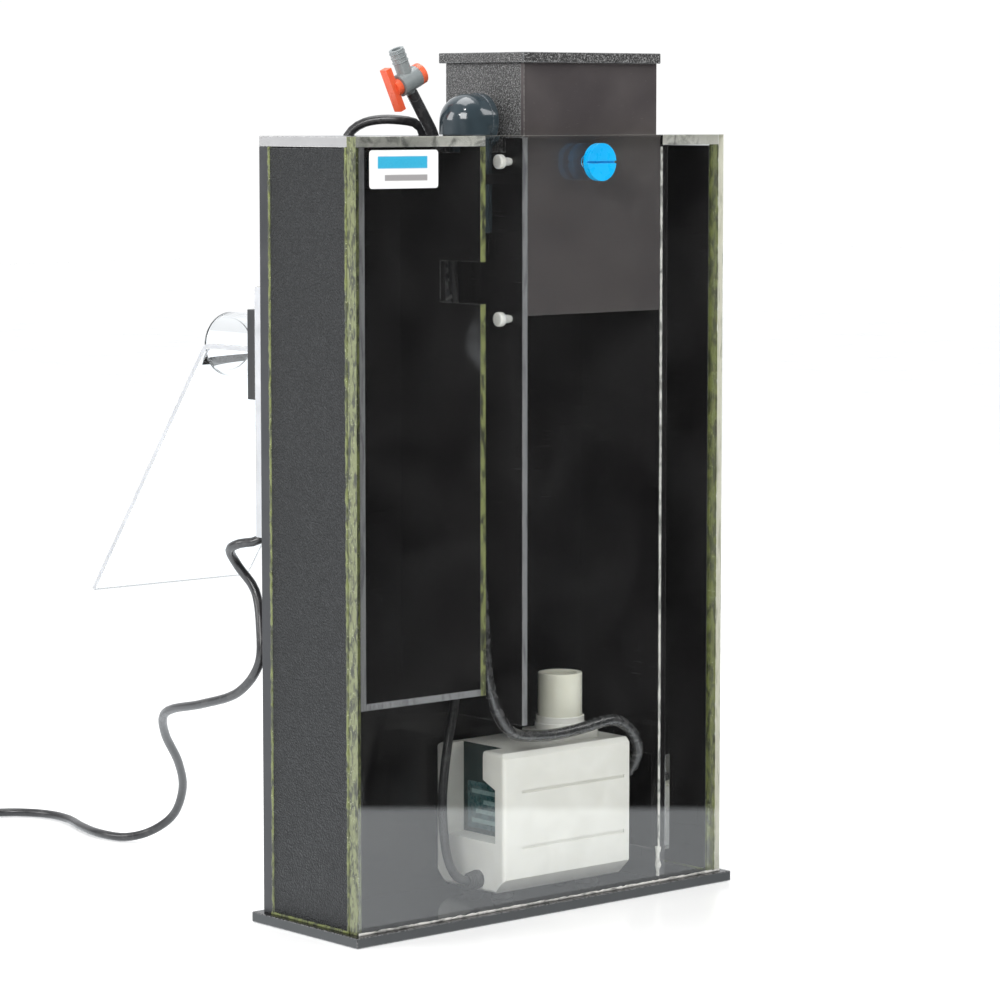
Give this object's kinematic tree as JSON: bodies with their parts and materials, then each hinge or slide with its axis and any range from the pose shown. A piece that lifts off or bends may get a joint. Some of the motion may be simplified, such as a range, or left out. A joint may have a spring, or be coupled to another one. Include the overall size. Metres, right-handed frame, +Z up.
{
  "type": "protein skimmer",
  "caption": "Slim hang-on protein skimmer: clear-fronted case with inner chambers, needle-wheel pump, lift-out foam cup, swivel elbow, air valve and clear return chute.",
  "frame": {"origin": "centre of the case on the base plate's underside", "axes": "+X right along the front pane, +Y towards the back where the water returns, +Z up"},
  "size_m": [0.329, 0.556, 0.5073],
  "materials": {
    "black_acrylic": "glossy cast acrylic",
    "grained_acrylic": "haircell grain",
    "clear_pane": "clear cast acrylic",
    "clear_acrylic": "clear cast acrylic",
    "grey_edge_acrylic": "glossy, pale polished edges",
    "cement": "mottled solvent cement",
    "label": "satin vinyl",
    "grey_pvc": "glossy moulded",
    "black_plastic": "satin",
    "white_nylon": "satin",
    "speckled_acrylic": "coarse grain, speckled",
    "smoked_acrylic": "smoked, satin",
    "blue_plastic": "moulded",
    "pump_white": "moulded, satin",
    "cream_plastic": "moulded, satin",
    "potting": "epoxy potting",
    "pump_label": "foil label",
    "steel": "turned",
    "rubber": "matt",
    "magnet": "coated ferrite",
    "ceramic": "ground ceramic",
    "impeller_plastic": "moulded",
    "cord_jacket": "satin jacket",
    "hose_rubber": "satin",
    "valve_grey": "moulded",
    "valve_orange": "moulded",
    "plug_black": "moulded",
    "pin_brass": "plated"
  },
  "bodies": {
    "case": {"base_plate": "black_acrylic", "back_panel": "black_acrylic", "left_side_panel": "grained_acrylic", "right_side_panel": "grained_acrylic", "front_pane": "clear_pane", "chamber_liner": "grey_edge_acrylic", "chamber_floor": "black_acrylic", "window_partition": "black_acrylic", "tower_partition": "grey_edge_acrylic", "inlet_partition": "grey_edge_acrylic", "inlet_guard": "clear_acrylic", "left_top_cover": "grey_edge_acrylic", "right_top_cover": "grey_edge_acrylic", "cement_seams": "cement", "name_label": "label", "elbow_bridge": "black_acrylic", "elbow_riser": "grey_pvc", "outlet_pipe": "clear_acrylic", "spacer_strips": "clear_acrylic", "chute_brackets": "black_plastic", "cup_stop_screws": "white_nylon", "pump_housing": "pump_white", "motor_block": "potting", "pump_label": "pump_label", "suction_cover": "pump_white", "cover_screws": "steel", "cover_seal": "rubber", "outlet_flange": "pump_white", "outlet_stub": "cream_plastic", "rotor_shaft": "ceramic", "shaft_bushes": "rubber", "pump_feet": "rubber", "cord_gland": "cord_jacket", "air_nipple": "cream_plastic", "air_hose": "hose_rubber", "valve_body": "valve_grey", "power_cord": "cord_jacket", "cord_coil": "cord_jacket", "cord_tie": "cord_jacket", "plug_body": "plug_black", "plug_pins": "pin_brass"},
    "cup": {"cup_shell": "speckled_acrylic", "cup_front": "smoked_acrylic", "foam_slope": "smoked_acrylic"},
    "lid": {"cup_lid": "speckled_acrylic", "lid_rim": "speckled_acrylic"},
    "locking_screw": {"lock_screw": "blue_plastic"},
    "elbow": {"pipe_elbow": "grey_pvc"},
    "valve_tap": {"valve_plug": "valve_orange"},
    "rotor": {"rotor_magnet": "magnet", "needle_wheel": "impeller_plastic"},
    "chute": {"return_chute": "clear_acrylic"}
  },
  "joints": [
    {"name": "cup_lift", "type": "slide", "parent": "case", "child": "cup", "axis": [0, 0, 1], "range_m": [0, 0.16]},
    {"name": "lid_lift", "type": "slide", "parent": "cup", "child": "lid", "axis": [0, 0, 1], "range_m": [0, 0.06]},
    {"name": "lock_screw_turn", "type": "hinge", "parent": "case", "child": "locking_screw", "pos_m": [0.035, -0.044, 0.4405], "axis": [0, -1, 0], "range_deg": [0, 720]},
    {"name": "elbow_swivel", "type": "hinge", "parent": "case", "child": "elbow", "pos_m": [-0.03, -0.0075, 0.464], "axis": [0, 0, 1], "range_deg": [-90, 0]},
    {"name": "valve_turn", "type": "hinge", "parent": "case", "child": "valve_tap", "pos_m": [-0.0584, 0.012, 0.4873], "axis": [0.9063, 0, 0.4226], "range_deg": [0, 90]},
    {"name": "rotor_spin", "type": "hinge", "parent": "case", "child": "rotor", "pos_m": [0.02, 0.001, 0.051], "axis": [1, 0, 0], "continuous": true},
    {"name": "chute_pull", "type": "slide", "parent": "case", "child": "chute", "axis": [0, 1, 0], "range_m": [0, 0.06]}
  ]
}
